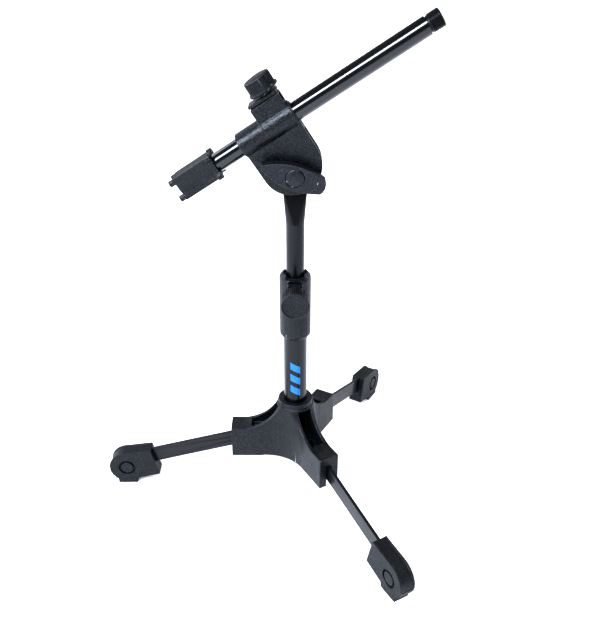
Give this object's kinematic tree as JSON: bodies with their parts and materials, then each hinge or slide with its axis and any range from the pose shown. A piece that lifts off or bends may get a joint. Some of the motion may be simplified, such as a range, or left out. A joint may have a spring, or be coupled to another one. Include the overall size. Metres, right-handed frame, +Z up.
{
  "type": "boom microphone stand",
  "caption": "Short tabletop boom microphone stand with folding bar legs, a telescopic mast, a tilting clamp head and a sliding boom with a threaded tip.",
  "frame": {"origin": "point on the floor under the axis of the mast", "axes": "+Z up the mast, +X the way the boom's threaded tip points, -Y the side with the height knob and wing lock"},
  "size_m": [0.3039, 0.3342, 0.4566],
  "materials": {
    "hub_plastic": "moulded grain",
    "zinc_steel": "zinc plated",
    "lower_tube_paint": "gloss black",
    "leg_paint": "satin black",
    "foot_rubber": "matte",
    "clamp_plastic": "moulded grain",
    "bush_plastic": "smooth",
    "knob_plastic": "moulded",
    "upper_tube_paint": "satin black",
    "head_plastic": "moulded grain",
    "friction_fibre": "pressed fibre",
    "wing_plastic": "moulded",
    "cap_plastic": "moulded",
    "boom_paint": "gloss black",
    "thread_steel": "blackened",
    "end_cap_plastic": "moulded"
  },
  "bodies": {
    "base": {"hub": "hub_plastic", "hub_bolt": "zinc_steel", "tube_plug": "zinc_steel", "lower_tube": "lower_tube_paint", "leg_pins": "zinc_steel", "height_clamp_body": "clamp_plastic", "height_nut": "zinc_steel", "clamp_bush": "bush_plastic"},
    "leg_1": {"leg_1": "leg_paint", "foot_1": "foot_rubber"},
    "leg_2": {"leg_2": "leg_paint", "foot_2": "foot_rubber"},
    "leg_3": {"leg_3": "leg_paint", "foot_3": "foot_rubber"},
    "height_pad": {"height_pad": "zinc_steel"},
    "height_screw": {"height_stud": "zinc_steel", "height_knob": "knob_plastic"},
    "mast_guide": {"guide_bush": "bush_plastic"},
    "mast": {"upper_tube": "upper_tube_paint"},
    "head": {"boom_clamp_body": "head_plastic", "tilt_washers": "friction_fibre", "tilt_bolt": "zinc_steel", "boom_nut": "zinc_steel"},
    "wing_washer": {"wing_washer": "zinc_steel"},
    "wing": {"tilt_wing": "wing_plastic", "wing_nut": "zinc_steel", "wing_cap": "cap_plastic"},
    "boom_sleeve": {"boom_bushes": "bush_plastic"},
    "boom": {"boom_tube": "boom_paint", "mic_thread": "thread_steel", "boom_end_cap": "end_cap_plastic"},
    "boom_pad": {"boom_pad": "zinc_steel"},
    "boom_screw": {"boom_stud": "zinc_steel", "boom_knob": "knob_plastic"}
  },
  "joints": [
    {"name": "leg_1_fold", "type": "hinge", "parent": "base", "child": "leg_1", "pos_m": [-0.035, 0, 0.05885], "axis": [0, -1, 0], "range_deg": [0, 74]},
    {"name": "leg_2_fold", "type": "hinge", "parent": "base", "child": "leg_2", "pos_m": [0.0175, -0.03031, 0.05885], "axis": [0.866, 0.5, 0], "range_deg": [0, 74]},
    {"name": "leg_3_fold", "type": "hinge", "parent": "base", "child": "leg_3", "pos_m": [0.0175, 0.03031, 0.05885], "axis": [-0.866, 0.5, 0], "range_deg": [0, 74]},
    {"name": "height_pad_travel", "type": "slide", "parent": "base", "child": "height_pad", "axis": [0, -1, 0], "range_m": [0, 0.0015]},
    {"name": "height_knob_turn", "type": "hinge", "parent": "height_pad", "child": "height_screw", "pos_m": [0, -0.03, 0.2205], "axis": [0, -1, 0], "range_deg": [0, 540]},
    {"name": "mast_slide", "type": "slide", "parent": "base", "child": "mast_guide", "axis": [0, 0, 1], "range_m": [-0.04, 0.06]},
    {"name": "mast_turn", "type": "hinge", "parent": "mast_guide", "child": "mast", "pos_m": [0, 0, 0.15], "axis": [0, 0, 1], "continuous": true},
    {"name": "head_tilt", "type": "hinge", "parent": "mast", "child": "head", "pos_m": [0, 0, 0.329], "axis": [0, 1, 0], "range_deg": [-42, 108]},
    {"name": "wing_travel", "type": "slide", "parent": "head", "child": "wing_washer", "axis": [0, -1, 0], "range_m": [0, 0.001]},
    {"name": "wing_turn", "type": "hinge", "parent": "wing_washer", "child": "wing", "pos_m": [0, -0.015, 0.329], "axis": [0, -1, 0], "range_deg": [0, 360]},
    {"name": "boom_spin", "type": "hinge", "parent": "head", "child": "boom_sleeve", "pos_m": [-0.02233, 0, 0.36339], "axis": [0.8387, 0, 0.5446], "continuous": true},
    {"name": "boom_slide", "type": "slide", "parent": "boom_sleeve", "child": "boom", "axis": [0.8387, 0, 0.5446], "range_m": [-0.11, 0.02]},
    {"name": "boom_pad_travel", "type": "slide", "parent": "head", "child": "boom_pad", "axis": [-0.5446, 0, 0.8387], "range_m": [0, 0.0015]},
    {"name": "boom_knob_turn", "type": "hinge", "parent": "boom_pad", "child": "boom_screw", "pos_m": [-0.02584, 0, 0.39688], "axis": [-0.5446, 0, 0.8387], "range_deg": [0, 540]}
  ],
  "couplings": [
    {"joint": "height_pad_travel", "follows": "height_knob_turn", "m_per_rad": 0.000159},
    {"joint": "wing_travel", "follows": "wing_turn", "m_per_rad": 0.000159},
    {"joint": "boom_pad_travel", "follows": "boom_knob_turn", "m_per_rad": 0.000159}
  ]
}
